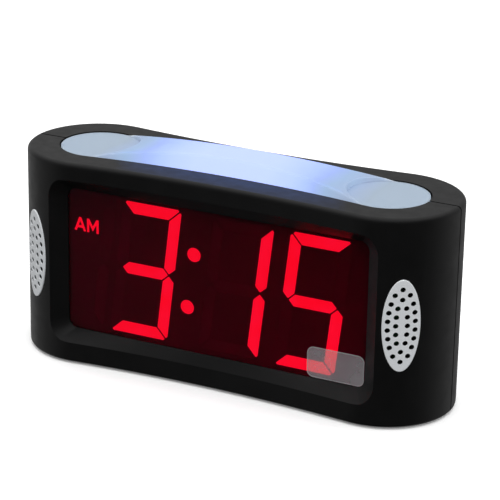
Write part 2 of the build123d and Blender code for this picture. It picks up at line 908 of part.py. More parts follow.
with BuildPart() as light_board_screws:
    with Locations(*[(x, y, light_board_top + screw_head / 2) for x, y in shelf_spots]):
        Cylinder(screw_head_r, screw_head)
    with Locations(*[(x, y, light_board_top - board) for x, y in shelf_spots]):
        Cylinder(screw_r - stop_play, 2 * board)
save(light_board_screws, "light_board_screws")

with BuildPart() as night_light_diodes:
    with Locations((0, 0, light_board_top + diode_height / 2)):
        with GridLocations(light_spacing, 0, light_count, 1):
            Box(2 * diode_size, 2 * diode_size, diode_height)
save(night_light_diodes, "night_light_diodes")

with BuildPart() as light_tray:
    span_box((-reflector_tray_half, reflector_tray_half),
             (-reflector_tray_depth_half, reflector_tray_depth_half),
             (light_board_top, reflector_tray_top))
    cut_box((-reflector_tray_half + reflector_tray_wall, reflector_tray_half - reflector_tray_wall),
            (-reflector_tray_depth_half + reflector_tray_wall,
             reflector_tray_depth_half - reflector_tray_wall),
            (0, body_top))
save(light_tray, "light_tray")


# ---------------------------------------------------------------- switches and rear controls

def tact_switch(plane):
    """Square switch with a round plunger, standing on a board."""
    with BuildPart() as switch:
        with BuildSketch(plane) as base:
            Rectangle(tact_size, tact_size)
        extrude(base.sketch, amount=tact_body)
        with BuildSketch(plane) as plunger:
            Circle(tact_plunger_r)
        extrude(plunger.sketch, amount=tact_body + tact_plunger)
    return switch.part


def tact_group(planes):
    with BuildPart() as group:
        for plane in planes:
            add(tact_switch(plane))
    return group


save(tact_group([Plane(origin=(side * snooze_switch_x, 0, light_board_top)) for side in (-1, 1)]),
     "snooze_switches")
save(tact_group([Plane(origin=(x, main_board_back_y, control_z), x_dir=(1, 0, 0), z_dir=(0, 1, 0))
                 for x in button_x]), "rear_switches")


def rear_button(x):
    """Pill-shaped cap through the rear wall, with a flange behind it and a stem to its switch."""
    outer_y = face_depth(x) + button_proud
    flange_y = face_depth(abs(x) - button_length / 2) - wall - 2 * flange_play
    stem_y = main_board_back_y + tact_body + tact_plunger + button_travel + stop_play
    with BuildPart() as button:
        with BuildSketch(front_plane(outer_y)) as cap:
            with Locations((x, control_z)):
                SlotOverall(button_length, button_height)
        extrude(cap.sketch, amount=outer_y - flange_y + button_flange)
        fillet(button.edges().group_by(Axis.Y)[-1], button_edge)
        with BuildSketch(front_plane(flange_y)) as flange:
            with Locations((x, control_z)):
                SlotOverall(button_length + 2 * button_flange, button_height + 2 * button_flange)
        extrude(flange.sketch, amount=button_flange)
        with BuildSketch(front_plane(flange_y)) as stem:
            with Locations((x, control_z)):
                Rectangle(stem_size, stem_size)
        extrude(stem.sketch, amount=flange_y - stem_y)
    return button


for name, x in zip(button_names, button_x):
    save(rear_button(x), name)

with BuildPart() as alarm_switch_body:
    middle_x = slide_x + slide_travel / 2
    span_box((middle_x - slide_body_half[0], middle_x + slide_body_half[0]),
             (main_board_back_y, slide_body_y),
             (control_z - slide_body_half[1], control_z + slide_body_half[1]))
    cut_box((slide_x - slide_fork, slide_x + slide_travel + slide_fork),
            (slide_body_y - 1.5 * slide_fork, slide_body_y),
            (control_z - slide_fork / 2 - door_play, control_z + slide_fork / 2 + door_play))
save(alarm_switch_body, "alarm_switch_body")

with BuildPart() as alarm_switch_knob:
    knob_y = face_depth(slide_x) + slide_proud
    span_box((slide_x - slide_knob / 2, slide_x + slide_knob / 2), (slide_plate_y[0], knob_y),
             (control_z - slide_knob / 2, control_z + slide_knob / 2))
    fillet(alarm_switch_knob.edges().group_by(Axis.Y)[-1], button_edge)
    span_box((slide_x - slide_plate_half[0], slide_x + slide_plate_half[0]), slide_plate_y,
             (control_z - slide_plate_half[1], control_z + slide_plate_half[1]))
    span_box((slide_x - slide_fork / 2, slide_x + slide_fork / 2),
             (slide_body_y - slide_fork, slide_plate_y[0]),
             (control_z - slide_fork / 2, control_z + slide_fork / 2))
save(alarm_switch_knob, "alarm_switch_knob")

wheel_y = face_depth(wheel_x) + wheel_proud - wheel_r
wheel_low = control_z - wheel_thickness / 2

with BuildPart() as dimmer_wheel:
    with Locations((wheel_x, wheel_y, control_z)):
        Cylinder(wheel_r, wheel_thickness)
        with PolarLocations(wheel_r, wheel_ribs):
            Cylinder(wheel_groove_r, wheel_thickness, mode=Mode.SUBTRACT)
    with Locations((wheel_x, wheel_y, wheel_low - axle_length / 2)):
        Cylinder(axle_r, axle_length)
save(dimmer_wheel, "dimmer_wheel")

with BuildPart() as dimmer_control:
    pot_top = wheel_low - wheel_play
    span_box((wheel_x - pot_half, wheel_x + pot_half), (main_board_back_y, pot_back_y),
             (pot_top - pot_height, pot_top))
    with Locations((wheel_x, wheel_y, pot_top - axle_length / 2)):
        Cylinder(axle_r + axle_play, axle_length + wheel_play, mode=Mode.SUBTRACT)
save(dimmer_control, "dimmer_control")


# ---------------------------------------------------------------- main board

with BuildPart() as main_circuit_board:
    span_box((-main_board_half, main_board_half), (main_board_front_y, main_board_back_y),
             (main_board_low, main_board_high))
    extrude(discs(main_board_back_y + past, main_spots, screw_r + stop_play),
            amount=main_board + 2 * past, mode=Mode.SUBTRACT)
save(main_circuit_board, "main_circuit_board")


def front_screws(spots, seat_y, reach):
    """Screws driven towards the back: heads in front of seat_y."""
    with BuildPart() as group:
        extrude(discs(seat_y, spots, screw_head_r), amount=screw_head)
        extrude(discs(seat_y, spots, screw_r - stop_play), amount=-reach)
    return group


save(front_screws(main_spots, main_board_front_y, main_screw_reach), "main_board_screws")

with BuildPart() as clock_chip:
    span_box((-chip_half, chip_half),
             (main_board_front_y - chip_height, main_board_front_y - chip_lift),
             (chip_z - chip_depth / 2, chip_z + chip_depth / 2))
    with Locations((0, main_board_front_y - pin_size[1] / 2, chip_z)):
        with GridLocations(2 * chip_half / chip_pins, 0, chip_pins, 1):
            Box(*pin_size, chip_depth + 2 * pin_reach)
save(clock_chip, "clock_chip")

with BuildPart() as board_components:
    extrude(discs(main_board_front_y, timer_spots, timer_size[0]), amount=timer_size[1])
    extrude(discs(main_board_front_y, [crystal_spot], crystal_size[0]), amount=crystal_size[1])
    with BuildSketch(front_plane(main_board_front_y)) as chips:
        with Locations(drivers_centre):
            with GridLocations(drivers_pitch, drivers_pitch, drivers_rows, drivers_rows):
                Rectangle(*driver_size)
    extrude(chips.sketch, amount=driver_height)
save(board_components, "board_components")

with BuildPart() as buzzer:
    extrude(discs(main_board_front_y, [(buzzer_x, control_z)], buzzer_r), amount=buzzer_height)
    fillet(buzzer.edges().group_by(Axis.Y)[0], button_edge)
    extrude(discs(main_board_front_y - past, [(buzzer_x, control_z)], screw_r),
            amount=buzzer_height, mode=Mode.SUBTRACT)
save(buzzer, "buzzer")


def ribbon(points, x_from, x_to, thickness, bend):
    """Flat cable in a plane across the clock, through (y, z) points with round bends."""
    with BuildPart() as band:
        with BuildSketch(Plane.YZ.offset(x_from)) as edge:
            with BuildLine() as route:
                FilletPolyline(*points, radius=bend)
            trace(route.edges(), thickness)
        extrude(edge.sketch, amount=x_to - x_from)
    return band


display_plug_y = reflector_back_y + board + plug_depth
main_plug_y = main_board_front_y - plug_depth
ribbon_z = control_z + ribbon_rise
light_plug_z = light_board_low - plug_depth

with BuildPart() as cable_plugs:
    for x, y in ((ribbon_x, (reflector_back_y + board, display_plug_y)),
                 (ribbon_x, (main_plug_y, main_board_front_y)),
                 (light_cable_x, (main_plug_y, main_board_front_y))):
        span_box((x[0] - plug_side, x[1] + plug_side), y,
                 (ribbon_z - plug_half, ribbon_z + plug_half))
    span_box((light_cable_x[0] - plug_side, light_cable_x[1] + plug_side),
             (light_cable_y - plug_half, light_cable_y + plug_half),
             (light_plug_z, light_board_low))
save(cable_plugs, "cable_plugs")

middle_y = (display_plug_y + main_plug_y) / 2
display_cable_route = [(display_plug_y, ribbon_z), (middle_y - ribbon_loop, ribbon_z),
                       (middle_y, ribbon_z - ribbon_sag), (middle_y + ribbon_loop, ribbon_z),
                       (main_plug_y, ribbon_z)]
save(ribbon(display_cable_route, *ribbon_x, cable_thickness, cable_bend), "display_ribbon")
light_cable_route = [(main_plug_y, ribbon_z), (light_cable_y, ribbon_z),
                     (light_cable_y, light_plug_z)]
save(ribbon(light_cable_route, *light_cable_x, cable_thickness, cable_bend), "light_ribbon")


# ---------------------------------------------------------------- power

with BuildPart() as power_board:
    span_box(power_board_x, (power_board_front_y, power_board_back_y), power_board_z)
save(power_board, "power_board")

with BuildPart() as power_inlet:
    span_box((inlet_x - inlet_half, inlet_x + inlet_half), (power_board_back_y, inlet_back_y),
             (inlet_z - inlet_half, inlet_z + inlet_half))
    nose_y = face_depth(inlet_x) - inlet_set_back
    extrude(discs(nose_y, [(inlet_x, inlet_z)], inlet_nose_r), amount=2 * wall)
    extrude(discs(nose_y, [(inlet_x, inlet_z)], inlet_hole_r), amount=inlet_depth,
            mode=Mode.SUBTRACT)
    extrude(discs(nose_y - past, [(inlet_x, inlet_z)], inlet_pin_r), amount=inlet_depth)
save(power_inlet, "power_inlet")

with BuildPart() as power_components:
    extrude(discs(power_board_front_y, [smoothing_spot], smoothing_size[0]),
            amount=smoothing_size[1])
    extrude(discs(power_board_front_y, [output_spot], output_size[0]), amount=output_size[1])
    for x, z in ((regulator_x, regulator_z), (rectifier_x, rectifier_z)):
        span_box(x, (power_board_front_y - package_height, power_board_front_y), z)
save(power_components, "power_components")

cell_y = bay_floor_y + cell_clear + cell_r
cell_z = [bay_low + 2 * cell_clear + cell_r + row * cell_pitch for row in (0, 1)]

with BuildPart() as backup_cells:
    for z, way in zip(cell_z, (1, -1)):
        with BuildSketch(Plane.YZ.offset(-way * cell_length / 2)) as can:
            with Locations((cell_y, z)):
                Circle(cell_r)
        extrude(can.sketch, amount=way * cell_length)
    fillet(backup_cells.edges().filter_by(GeomType.CIRCLE), button_edge)
    for z, way in zip(cell_z, (1, -1)):
        with BuildSketch(Plane.YZ.offset(way * cell_length / 2)) as cap:
            with Locations((cell_y, z)):
                Circle(cell_cap_r)
        extrude(cap.sketch, amount=way * cell_cap)
save(backup_cells, "backup_cells")

with BuildPart() as battery_contacts:
    for z, way in zip(cell_z, (1, -1)):
        cap_x = way * (cell_length / 2 + cell_cap)
        plate_x = way * (bay_half - contact_thickness)
        for side in (-1, 1):
            inner = side * (bay_half - contact_thickness)
            span_box(sorted((inner, side * bay_half)),
                     (cell_y - contact_half, cell_y + contact_half),
                     (z - contact_half, z + contact_half))
        with BuildSketch(Plane.YZ.offset(cap_x)) as dimple:
            with Locations((cell_y, z)):
                Circle(cell_cap_r)
        extrude(dimple.sketch, amount=plate_x - cap_x)
        with BuildSketch(Plane.XY.offset(z - cell_cap_r)) as leaf:
            with BuildLine() as bend:
                Polyline((-plate_x, cell_y - contact_half + contact_thickness / 2),
                         (-way * (cell_length / 2 + contact_thickness), cell_y),
                         (-plate_x, cell_y + contact_half - contact_thickness / 2))
            trace(bend.edges(), contact_thickness)
        extrude(leaf.sketch, amount=2 * cell_cap_r)
save(battery_contacts, "battery_contacts")

with BuildPart() as grip_grooves:
    with BuildSketch(front_plane(beyond)) as grips:
        with Locations((0, door_high - grip_drop)):
            with GridLocations(0, grip_pitch, 1, grip_count):
                SlotOverall(grip_length, grip_width)
    extrude(grips.sketch, amount=beyond)
    extrude(housing_outline(body_base, grip_depth), amount=body_top, mode=Mode.SUBTRACT)

with BuildPart() as battery_door:
    add(wall_patch(door_half, door_low, door_high, door_corner, door_thickness))
    extrude(housing_outline(body_base), amount=body_top, mode=Mode.INTERSECT)
    add(grip_grooves.part, mode=Mode.SUBTRACT)
    for side in (-1, 1):
        x = (side * hinge_x - hinge_half, side * hinge_x + hinge_half)
        span_box(x, (hinge_y[0], waist_half - door_thickness + hinge_overlap),
                 (door_low, hinge_high))
        span_box(x, hinge_y, (hinge_low, door_low))
save(battery_door, "battery_door")


# ---------------------------------------------------------------- feet and rating label

with BuildPart() as rubber_feet:
    with Locations(*[(x, y, (body_base + foot_sunk) / 2)
                     for x in (-foot_x, foot_x) for y in (-foot_y, foot_y)]):
        Cylinder(foot_r - stop_play, body_base + foot_sunk)
    fillet(rubber_feet.edges().group_by(Axis.Z)[0], foot_stand / 2)
save(rubber_feet, "rubber_feet")

with BuildPart() as rating_label:
    with BuildSketch(Plane.XY.offset(body_base - label_thickness)):
        with Locations((0, label_y)):
            RectangleRounded(*label_size, door_corner)
    extrude(amount=label_thickness)
save(rating_label, "rating_label")
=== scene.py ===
import math

import bmesh
import bpy
from mathutils import Matrix, Vector


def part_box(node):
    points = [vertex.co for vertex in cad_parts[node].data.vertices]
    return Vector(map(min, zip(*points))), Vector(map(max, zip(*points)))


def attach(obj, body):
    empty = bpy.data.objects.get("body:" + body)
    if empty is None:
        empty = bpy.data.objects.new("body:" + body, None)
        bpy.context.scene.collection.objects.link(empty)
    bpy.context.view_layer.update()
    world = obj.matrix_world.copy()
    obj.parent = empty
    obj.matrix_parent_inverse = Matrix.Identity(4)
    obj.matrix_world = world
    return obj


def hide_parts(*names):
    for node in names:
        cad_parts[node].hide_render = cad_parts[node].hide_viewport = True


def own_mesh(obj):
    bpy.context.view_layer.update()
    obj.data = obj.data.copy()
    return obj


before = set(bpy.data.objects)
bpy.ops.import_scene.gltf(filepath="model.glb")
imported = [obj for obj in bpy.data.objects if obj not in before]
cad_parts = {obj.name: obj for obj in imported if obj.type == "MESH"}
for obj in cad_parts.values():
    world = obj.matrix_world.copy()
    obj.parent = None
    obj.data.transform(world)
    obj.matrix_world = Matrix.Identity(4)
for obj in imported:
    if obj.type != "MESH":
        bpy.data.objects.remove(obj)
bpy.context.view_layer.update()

# ---- Camera: a 163 mm lens from the front right, looking down. Angles are in degrees ----
CAMERA_PLACE = (0.30066, -0.60897, 0.29578)
CAMERA_YAW = 26.024
CAMERA_PITCH = -20.492
CAMERA_ROLL = 1.075
CAMERA_LENS = 163.08
CAMERA_SENSOR = 36.0
CAMERA_SHIFT = (0.0026, -0.0043)
CAMERA_NEAREST = 0.01

# ---- Studio lights: place, size and power in watts. They aim at the clock's middle ----
CLOCK_MIDDLE = (0.0, 0.0, 0.035)
TOP_LIGHT = {"place": (0.0, 0.0, 1.1), "size": (1.4, 1.1), "power": 10.0}
FRONT_LIGHT = {"place": (0.7, -0.9, 0.9), "size": (0.5, 0.5), "power": 3.0}

# ---- Blue light on the rim: a long, thin light along each edge of the lens. These are the back
# edge's, and the front edge's is its mirror image ----
SPILL_PLACE = (0.0, 0.0082, 0.0713)
SPILL_AIM = (0.0, 0.0168, 0.0763)
SPILL_SIZE = (0.080, 0.005)
SPILL_POWER = 0.0008
SPILL_COLOUR = (0.0, 0.2, 1.0)

# ---- Room: each slope's axis, the two places on it from -1 to 1 that it runs between, and the
# light at each. SOFT lights the clock, and SEEN is what its gloss reflects ----
ROOM_SOFT = ("Z", -0.2, 0.8, 0.10, 1.0)
ROOM_SEEN_BEHIND = ("Y", -0.35, 0.8, 0.01, 0.30)
ROOM_SEEN_LEFT = ("X", -0.3, -0.95, 0.0, 0.22)
ROOM_SEEN_ABOVE = ("Z", 0.45, 0.9, 0.0, 0.40)

# ---- Floor ----
FLOOR_HALF = 6.0
FLOOR_DARK, FLOOR_LIGHT = (0.90, 0.90, 0.90), (0.92, 0.92, 0.92)
FLOOR_GLOW = 0.12

# ---- A noise from 0 to 1 mostly lies between these two, which a drift or a cloud runs over ----
NOISE_LOW, NOISE_HIGH = 0.3, 0.7

# ---- Display: dark red window, and the light of the lit segments behind it ----
WINDOW_DARK, WINDOW_LIGHT = (0.80, 0.02, 0.28), (0.86, 0.03, 0.32)
WINDOW_ROUGH = (0.02, 0.05)
WINDOW_SPECULAR = 0.04
LIT_DARK, LIT_LIGHT = (1.0, 0.06, 0.050), (1.0, 0.11, 0.078)
LIT_STRENGTH = 1.14
CLEAR_IOR = 1.46

# ---- Night light: colours of the lens and of its glow, from its middle to LENS_REACH ----
LENS_REACH = 0.050
LENS_BODY = ((0.0, (0.12, 0.14, 0.16)), (0.6, (0.12, 0.14, 0.18)), (0.8, (0.21, 0.26, 0.33)),
             (0.95, (0.285, 0.35, 0.43)))
LENS_LIGHT = ((0.0, (0.168, 0.208, 0.50)), (0.24, (0.166, 0.208, 0.49)),
              (0.42, (0.142, 0.188, 0.45)), (0.52, (0.114, 0.162, 0.37)),
              (0.60, (0.085, 0.125, 0.28)), (0.70, (0.055, 0.095, 0.165)),
              (0.82, (0.030, 0.042, 0.080)), (0.94, (0.0, 0.0, 0.0)))
# LENS_SIDE_LIGHT is a painted glow on the lens's steep faces, more the steeper they are, which
# lightens their shading.
LENS_SIDE_LIGHT = (0.060, 0.070, 0.078)
LENS_STRENGTH = 2.5
LENS_HAZE = 0.002
LENS_SCATTER = 0.003

# ---- Grilles: silver, which reaches this far below the end's surface, and black past that ----
GRILLE_PAINT_DEPTH = 0.0001
GRILLE_INSIDE = (0.004, 0.004, 0.004)
GRILLE_DARK, GRILLE_LIGHT = (0.84, 0.87, 0.90), (0.94, 0.965, 0.99)
GRILLE_ROUGH = (0.36, 0.5)

# ---- Label on the window: a film with round corners, with a painted highlight over the width of its edge ----
LABEL_COLOUR = (0.75, 0.76, 0.78)
LABEL_CORNER = 0.0022
LABEL_EDGE = 0.0004
LABEL_FILM = (0.25, 0.35)
LABEL_EDGE_HIGHLIGHT = 0.18
LABEL_ROUGH = (0.25, 0.35)

# ---- Moulded finishes: dark and light colour, roughness from and to, grains to the metre, their
# depth in metres, specular level, and the CAD nodes that have the finish ----
PLAIN_SPECULAR = 0.5
MOULDED = {
    "housing_black": ((0.0052, 0.0052, 0.0054), (0.0068, 0.0068, 0.0070), (0.36, 0.46),
                      2600.0, 0.00003, 0.45, ("front_shell", "rear_shell", "battery_door")),
    "segment_unlit": ((0.28, 0.003, 0.13), (0.31, 0.004, 0.15), (0.5, 0.6),
                      900.0, 0.00001, 0.2, ("unlit_segments",)),
    "reflector_face": ((0.24, 0.002, 0.11), (0.27, 0.003, 0.13), (0.5, 0.6),
                       1400.0, 0.00001, 0.2, ("digit_reflector",)),
    "control_black": ((0.016, 0.016, 0.017), (0.021, 0.021, 0.022), (0.42, 0.52),
                      2200.0, 0.00003, PLAIN_SPECULAR,
                      ("alarm_button", "time_button", "hour_button", "minute_button",
                       "alarm_switch_knob", "dimmer_wheel", "power_inlet")),
    "component_black": ((0.02, 0.02, 0.022), (0.035, 0.035, 0.037), (0.4, 0.6),
                        1500.0, 0.00002, PLAIN_SPECULAR,
                        ("snooze_switches", "rear_switches", "alarm_switch_body",
                         "dimmer_control", "clock_chip", "board_components", "buzzer",
                         "power_components")),
    "board_green": ((0.012, 0.075, 0.03), (0.02, 0.11, 0.045), (0.25, 0.4),
                    700.0, 0.00001, PLAIN_SPECULAR,
                    ("display_board", "main_circuit_board", "night_light_board", "power_board")),
    "plug_nylon": ((0.62, 0.58, 0.48), (0.72, 0.68, 0.58), (0.4, 0.5),
                   600.0, 0.00001, PLAIN_SPECULAR, ("cable_plugs",)),
    "cable_grey": ((0.25, 0.25, 0.26), (0.36, 0.36, 0.37), (0.45, 0.6),
                   500.0, 0.00001, PLAIN_SPECULAR, ("display_ribbon", "light_ribbon")),
    "tray_white": ((0.76, 0.76, 0.76), (0.84, 0.84, 0.84), (0.3, 0.4),
                   500.0, 0.00001, PLAIN_SPECULAR, ("light_tray",)),
    "diode_resin": ((0.70, 0.68, 0.50), (0.82, 0.80, 0.64), (0.1, 0.2),
                    500.0, 0.00001, PLAIN_SPECULAR, ("display_diodes", "night_light_diodes")),
    "foot_rubber": ((0.02, 0.02, 0.02), (0.03, 0.03, 0.03), (0.75, 0.9),
                    1800.0, 0.00004, PLAIN_SPECULAR, ("rubber_feet",)),
    "label_grey": ((0.42, 0.42, 0.43), (0.48, 0.48, 0.49), (0.35, 0.45),
                   900.0, 0.00001, PLAIN_SPECULAR, ("rating_label",)),
    "cell_wrap": ((0.05, 0.055, 0.07), (0.07, 0.075, 0.09), (0.2, 0.3),
                  400.0, 0.00001, PLAIN_SPECULAR, ("backup_cells",)),
}

# ---- Bare metals: dark and light colour, roughness from and to, and their CAD nodes ----
METALS = {
    "screw_steel": ((0.42, 0.42, 0.43), (0.6, 0.6, 0.6), (0.25, 0.4),
                    ("display_screws", "case_screws", "light_board_screws",
                     "main_board_screws")),
    "spring_steel": ((0.55, 0.54, 0.52), (0.7, 0.69, 0.66), (0.2, 0.32),
                     ("snooze_springs", "battery_contacts")),
}


# ---------------------------------------------------------------- node helpers

class Nodes:
    """A material's node tree, with short calls to add and join nodes."""

    def __init__(self, name):
        self.material = bpy.data.materials.new(name)
        self.material.use_nodes = True
        self.tree = self.material.node_tree
        self.tree.nodes.clear()
        self.output = self.tree.nodes.new("ShaderNodeOutputMaterial")

    def add(self, kind, **settings):
        node = self.tree.nodes.new("ShaderNode" + kind)
        for key, value in settings.items():
            setattr(node, key, value)
        return node

    def join(self, source, target):
        self.tree.links.new(source, target)

    def surface(self, **values):
        """The principled shader, with constants set on its own sockets."""
        shader = self.add("BsdfPrincipled")
        for key, value in values.items():
            shader.inputs[key.replace("_", " ")].default_value = value
        self.join(shader.outputs[0], self.output.inputs["Surface"])
        return shader

    def axes(self, kind):
        """X, Y and Z of "Object", the place in the frame in metres, or of "Normal"."""
        coordinates = self.add("TexCoord")
        apart = self.add("SeparateXYZ")
        self.join(coordinates.outputs[kind], apart.inputs[0])
        return apart.outputs

    def noise(self, scale, detail=3.0, roughness=0.5):
        """A noise from 0 to 1, with scale features to the metre."""
        coordinates = self.add("TexCoord")
        node = self.add("TexNoise")
        node.inputs["Scale"].default_value = scale
        node.inputs["Detail"].default_value = detail
        node.inputs["Roughness"].default_value = roughness
        self.join(coordinates.outputs["Object"], node.inputs["Vector"])
        return node.outputs["Fac"]

    def ramp(self, factor, stops):
        """Colour ramp: stops are (position, colour)."""
        node = self.add("ValToRGB")
        elements = node.color_ramp.elements
        while len(elements) < len(stops):
            elements.new(0.5)
        for element, (position, colour) in zip(elements, stops):
            element.position = position
            element.color = (*colour, 1.0)
        self.join(factor, node.inputs["Fac"])
        return node.outputs["Color"]

    def remap(self, value, low, high, to_low, to_high):
        node = self.add("MapRange")
        for key, number in (("From Min", low), ("From Max", high), ("To Min", to_low),
                            ("To Max", to_high)):
            node.inputs[key].default_value = number
        self.join(value, node.inputs["Value"])
        return node.outputs[0]

    def cloud(self, noise, dark, light):
        """A colour that wanders between dark and light with a noise."""
        return self.ramp(noise, ((NOISE_LOW, dark), (NOISE_HIGH, light)))

    def drift(self, noise, low, high):
        """A value that wanders between low and high with a noise."""
        return self.remap(noise, NOISE_LOW, NOISE_HIGH, low, high)

    def bump(self, height, strength, distance):
        node = self.add("Bump")
        node.inputs["Strength"].default_value = strength
        node.inputs["Distance"].default_value = distance
        self.join(height, node.inputs["Height"])
        return node.outputs[0]

    def math(self, kind, a, b=None):
        node = self.add("Math", operation=kind)
        for socket, value in zip(node.inputs, (a, b)):
            if value is None:
                continue
            if isinstance(value, (int, float)):
                socket.default_value = value
            else:
                self.join(value, socket)
        return node.outputs[0]

    def length(self, a, b):
        """Length of the line whose sides are a and b."""
        squares = [self.math("MULTIPLY", side, side) for side in (a, b)]
        return self.math("SQRT", self.math("ADD", *squares))

    def mix(self, kind, factor, first, second):
        """Two colours mixed, each of them a constant or another node's colour."""
        node = self.add("MixRGB", blend_type=kind)
        self.join(factor, node.inputs["Fac"])
        for key, colour in (("Color1", first), ("Color2", second)):
            if isinstance(colour, tuple):
                node.inputs[key].default_value = (*colour, 1.0)
            else:
                self.join(colour, node.inputs[key])
        return node.outputs[0]


# ---------------------------------------------------------------- materials

def grained(name, dark, light, rough, grain_scale, grain_depth, specular):
    """Moulded surface: cloudy colour, uneven roughness and a fine grain in the bump."""
    nodes = Nodes(name)
    shader = nodes.surface(Specular_IOR_Level=specular)
    cloud = nodes.noise(scale=90.0, detail=4.0, roughness=0.6)
    nodes.join(nodes.cloud(cloud, dark, light), shader.inputs["Base Color"])
    nodes.join(nodes.drift(nodes.noise(scale=260.0), *rough), shader.inputs["Roughness"])
    grain = nodes.noise(scale=grain_scale, detail=2.0, roughness=0.55)
    nodes.join(nodes.bump(grain, strength=0.5, distance=grain_depth), shader.inputs["Normal"])
    return nodes.material


def metal(name, dark, light, rough):
    """Bare metal: one streaky noise sets its colour and its roughness."""
    nodes = Nodes(name)
    shader = nodes.surface(Metallic=1.0)
    streak = nodes.noise(scale=800.0, roughness=0.6)
    nodes.join(nodes.cloud(streak, dark, light), shader.inputs["Base Color"])
    nodes.join(nodes.drift(streak, *rough), shader.inputs["Roughness"])
    return nodes.material


def window_material():
    """Dark red clear plastic, smooth enough to read the digits through."""
    nodes = Nodes("window_tint")
    shader = nodes.surface(IOR=CLEAR_IOR, Transmission_Weight=1.0,
                           Specular_IOR_Level=WINDOW_SPECULAR)
    shade = nodes.noise(scale=14.0, detail=2.0)
    nodes.join(nodes.cloud(shade, WINDOW_DARK, WINDOW_LIGHT), shader.inputs["Base Color"])
    nodes.join(nodes.drift(nodes.noise(scale=300.0), *WINDOW_ROUGH), shader.inputs["Roughness"])
    return nodes.material


def lit_material():
    """A glowing segment, a little uneven, as a diode behind a diffuser is."""
    nodes = Nodes("segment_lit")
    shader = nodes.surface(Base_Color=(0.6, 0.01, 0.05, 1.0), Roughness=0.4,
                           Emission_Strength=LIT_STRENGTH)
    glow = nodes.noise(scale=160.0, detail=2.0)
    nodes.join(nodes.cloud(glow, LIT_DARK, LIT_LIGHT), shader.inputs["Emission Color"])
    return nodes.material


def grille_material():
    """Silver paint on the grilles' round outside, and black inside their holes."""
    nodes = Nodes("grille_silver")
    shader = nodes.surface(Specular_IOR_Level=PLAIN_SPECULAR)
    far_x, end_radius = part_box("rear_shell")[1][:2]
    end_x = far_x - end_radius
    place = nodes.axes("Object")
    across = nodes.math("SUBTRACT", nodes.math("ABSOLUTE", place["X"]), end_x)
    out = nodes.length(across, place["Y"])
    painted = nodes.remap(out, end_radius - GRILLE_PAINT_DEPTH, end_radius, 0.0, 1.0)
    flake = nodes.noise(scale=2200.0, detail=2.0, roughness=0.7)
    silver = nodes.cloud(flake, GRILLE_DARK, GRILLE_LIGHT)
    nodes.join(nodes.mix("MIX", painted, GRILLE_INSIDE, silver), shader.inputs["Base Color"])
    nodes.join(nodes.drift(nodes.noise(scale=700.0), *GRILLE_ROUGH), shader.inputs["Roughness"])
    paint_grain = nodes.noise(scale=3000.0)
    nodes.join(nodes.bump(paint_grain, strength=0.3, distance=0.00002), shader.inputs["Normal"])
    return nodes.material


def lens_material():
    """Frosted lens: grey-blue at its ends, and lit from below by blue lamps in its middle. Its
    steep faces also get a painted glow.
    """
    nodes = Nodes("lens_glow")
    shader = nodes.surface(Roughness=0.35, IOR=CLEAR_IOR, Subsurface_Weight=0.5,
                           Subsurface_Scale=LENS_SCATTER, Subsurface_Radius=(1.0, 1.0, 1.0),
                           Emission_Strength=LENS_STRENGTH)
    along = nodes.math("ABSOLUTE", nodes.axes("Object")["X"])
    haze = nodes.remap(nodes.noise(scale=60.0), 0.2, 0.8, -LENS_HAZE, LENS_HAZE)
    reach = nodes.remap(nodes.math("ADD", along, haze), 0.0, LENS_REACH, 0.0, 1.0)
    nodes.join(nodes.ramp(reach, LENS_BODY), shader.inputs["Base Color"])
    # Painted light: steep faces get LENS_SIDE_LIGHT added to their glow, so their shading is
    # lighter.
    steep = nodes.remap(nodes.axes("Normal")["Z"], 0.0, 1.0, 1.0, 0.0)
    light = nodes.mix("ADD", steep, nodes.ramp(reach, LENS_LIGHT), LENS_SIDE_LIGHT)
    nodes.join(light, shader.inputs["Emission Color"])
    frost = nodes.noise(scale=900.0)
    nodes.join(nodes.bump(frost, strength=0.3, distance=0.00003), shader.inputs["Normal"])
    return nodes.material


def film_material():
    """Clear label: a hazy film, with a painted highlight at its rounded edge."""
    nodes = Nodes("label_film")
    shader = nodes.surface(Base_Color=(*LABEL_COLOUR, 1.0))
    low, high = (Vector(corner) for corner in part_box("window_label"))
    middle, half = (low + high) / 2, (high - low) / 2
    place = nodes.axes("Object")
    past = []
    for axis, centre, reach in (("X", middle.x, half.x), ("Z", middle.z, half.z)):
        away = nodes.math("ABSOLUTE", nodes.math("SUBTRACT", place[axis], centre))
        over = nodes.math("SUBTRACT", away, reach - LABEL_CORNER)
        past.append(nodes.math("MAXIMUM", over, 0.0))
    # Painted highlight: the film is lighter and more opaque over the width of its edge.
    edge = nodes.remap(nodes.length(*past), LABEL_CORNER - LABEL_EDGE, LABEL_CORNER,
                       0.0, LABEL_EDGE_HIGHLIGHT)
    haze = nodes.noise(scale=120.0)
    film = nodes.drift(haze, *LABEL_FILM)
    nodes.join(nodes.math("ADD", film, edge), shader.inputs["Alpha"])
    nodes.join(nodes.drift(haze, *LABEL_ROUGH), shader.inputs["Roughness"])
    return nodes.material


def paint(material, names):
    """Gives CAD nodes their finish."""
    for name in names:
        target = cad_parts[name]
        for place in target.material_slots:
            place.material = material
        if not target.material_slots:
            target.data.materials.append(material)


def finish_cad_nodes():
    for name, (*look, names) in MOULDED.items():
        paint(grained(name, *look), names)
    for name, (*look, names) in METALS.items():
        paint(metal(name, *look), names)
    paint(window_material(), ("display_window",))
    paint(film_material(), ("window_label",))
    paint(lit_material(), ("lit_segments",))
    paint(grille_material(), ("grille_left", "grille_right"))
    paint(lens_material(), ("snooze_bar",))


# ---------------------------------------------------------------- springs

def make_return_springs():
    """The snooze bar's springs, which stand on their board: a copy of the CAD node's mesh,
    attached to the root body.
    """
    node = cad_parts["snooze_springs"]
    springs = bpy.data.objects.new("return_springs", node.data.copy())
    bpy.context.scene.collection.objects.link(springs)
    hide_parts("snooze_springs")
    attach(springs, "root")
    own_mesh(springs)


# ---------------------------------------------------------------- stage

